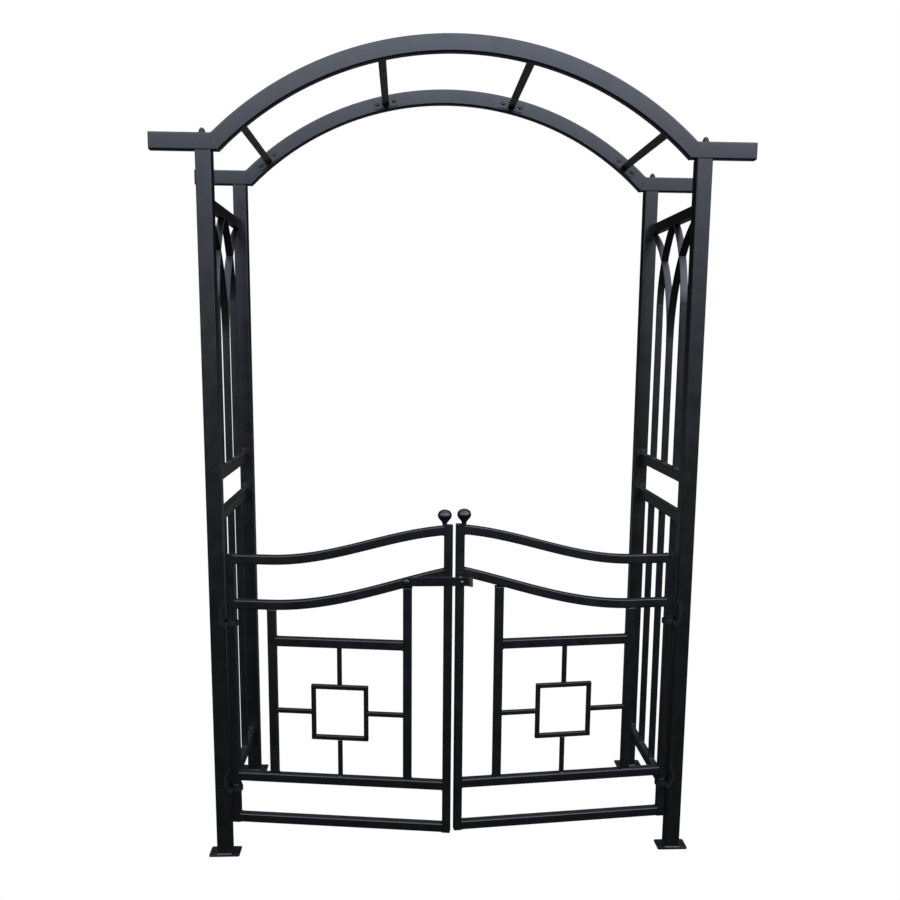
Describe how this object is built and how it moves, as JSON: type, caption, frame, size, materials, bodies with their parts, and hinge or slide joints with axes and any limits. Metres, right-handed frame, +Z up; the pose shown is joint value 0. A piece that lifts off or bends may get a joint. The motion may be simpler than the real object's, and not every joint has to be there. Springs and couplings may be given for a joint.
{
  "type": "metal garden arch with gates",
  "caption": "Free-standing metal garden arch with trellis sides, a double arched top and a pair of latched gates with curved rails and open square ornaments.",
  "frame": {"origin": "on the ground, under the middle of the whole object's box with the gates as pictured", "axes": "+X to the right seen from the gate side, +Y from the gates to the back, +Z up"},
  "size_m": [1.518, 0.6634, 2.1507],
  "materials": {
    "frame_coat": "satin black powder coat",
    "trellis_coat": "satin black powder coat",
    "gate_coat": "satin black powder coat",
    "fitting_coat": "black painted fittings",
    "cap_plastic": "black plastic push-in caps",
    "zinc_steel": "bright zinc plated stud"
  },
  "bodies": {
    "frame": {"post_front_left": "frame_coat", "post_front_right": "frame_coat", "post_back_left": "frame_coat", "post_back_right": "frame_coat", "foot_plate_front_left": "frame_coat", "foot_plate_front_right": "frame_coat", "foot_plate_back_left": "frame_coat", "foot_plate_back_right": "frame_coat", "arch_front": "frame_coat", "arch_back": "frame_coat", "wing_front_left": "frame_coat", "wing_front_right": "frame_coat", "wing_back_left": "frame_coat", "wing_back_right": "frame_coat", "wing_cap_front_left": "cap_plastic", "wing_cap_front_right": "cap_plastic", "wing_cap_back_left": "cap_plastic", "wing_cap_back_right": "cap_plastic", "cap_nut_front_left": "fitting_coat", "cap_nut_front_right": "fitting_coat", "cap_nut_back_right": "fitting_coat", "cross_tie_left_low": "frame_coat", "cross_tie_left_high": "frame_coat", "cross_tie_right_high": "frame_coat", "cross_tie_right_low": "frame_coat", "trellis_upper_left": "trellis_coat", "trellis_lower_left": "trellis_coat", "trellis_upper_right": "trellis_coat", "trellis_lower_right": "trellis_coat", "hinge_loop_left_lower": "fitting_coat", "hinge_loop_left_upper": "fitting_coat", "hinge_loop_right_lower": "fitting_coat", "hinge_loop_right_upper": "fitting_coat"},
    "left_gate": {"left_hinge_stile": "gate_coat", "left_meeting_stile": "gate_coat", "left_top_rail": "gate_coat", "left_second_rail": "gate_coat", "left_outer_bar": "gate_coat", "left_inner_bar": "gate_coat", "left_panel_top_bar": "gate_coat", "left_panel_rail": "gate_coat", "left_bottom_rail": "gate_coat", "left_ornament": "gate_coat", "left_finial": "gate_coat", "latch_pivot": "fitting_coat"},
    "right_gate": {"right_hinge_stile": "gate_coat", "right_meeting_stile": "gate_coat", "right_top_rail": "gate_coat", "right_second_rail": "gate_coat", "right_outer_bar": "gate_coat", "right_inner_bar": "gate_coat", "right_panel_top_bar": "gate_coat", "right_panel_rail": "gate_coat", "right_bottom_rail": "gate_coat", "right_ornament": "gate_coat", "right_finial": "gate_coat", "latch_keeper": "zinc_steel"},
    "latch_arm": {"latch_arm": "fitting_coat"}
  },
  "joints": [
    {"name": "left_gate_swing", "type": "hinge", "parent": "frame", "child": "left_gate", "pos_m": [-0.5895, -0.2178, 0.458], "axis": [0, 0, -1], "range_deg": [0, 82]},
    {"name": "right_gate_swing", "type": "hinge", "parent": "frame", "child": "right_gate", "pos_m": [0.5895, -0.2178, 0.458], "axis": [0, 0, -1], "range_deg": [0, 89]},
    {"name": "latch_arm_lift", "type": "hinge", "parent": "left_gate", "child": "latch_arm", "pos_m": [-0.12275, -0.28091, 0.79], "axis": [-0.134, -0.991, 0], "range_deg": [0, 95]}
  ]
}
